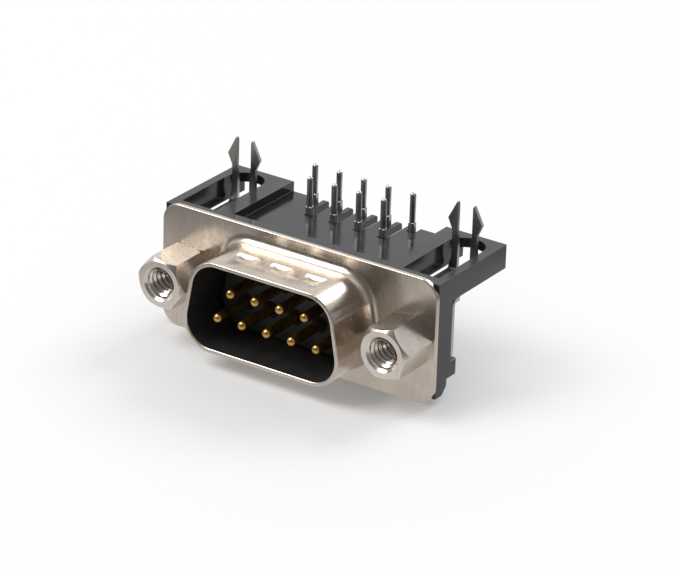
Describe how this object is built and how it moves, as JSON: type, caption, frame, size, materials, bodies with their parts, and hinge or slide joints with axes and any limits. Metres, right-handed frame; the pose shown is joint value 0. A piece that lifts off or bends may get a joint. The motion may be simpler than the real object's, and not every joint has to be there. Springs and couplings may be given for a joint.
{
  "type": "d-sub connector",
  "caption": "Right-angle D-shaped pin connector for a circuit board, with board locks and female jackscrews.",
  "frame": {"origin": "centre of the flange's front face, on the collar's axis", "axes": "+X along the flange, -Y out of the collar towards the mating plug, +Z towards the circuit board and the solder tails"},
  "size_m": [0.0308, 0.0179, 0.0166],
  "materials": {
    "nickel_steel": "satin",
    "lock_steel": "satin",
    "jackscrew_steel": "satin",
    "black_moulding": "gloss",
    "insulator": "matte",
    "contact": "polished"
  },
  "bodies": {
    "root": {"front_shell": "nickel_steel", "front_insulator": "insulator", "rear_insulator": "insulator", "bracket": "black_moulding", "contact_near_1": "contact", "contact_near_2": "contact", "contact_near_3": "contact", "contact_near_4": "contact", "contact_far_1": "contact", "contact_far_2": "contact", "contact_far_3": "contact", "contact_far_4": "contact", "contact_far_5": "contact", "board_lock_left": "lock_steel", "board_lock_right": "lock_steel", "threaded_insert_left": "nickel_steel", "threaded_insert_right": "nickel_steel", "jackscrew_left": "jackscrew_steel", "jackscrew_right": "jackscrew_steel"}
  },
  "joints": []
}
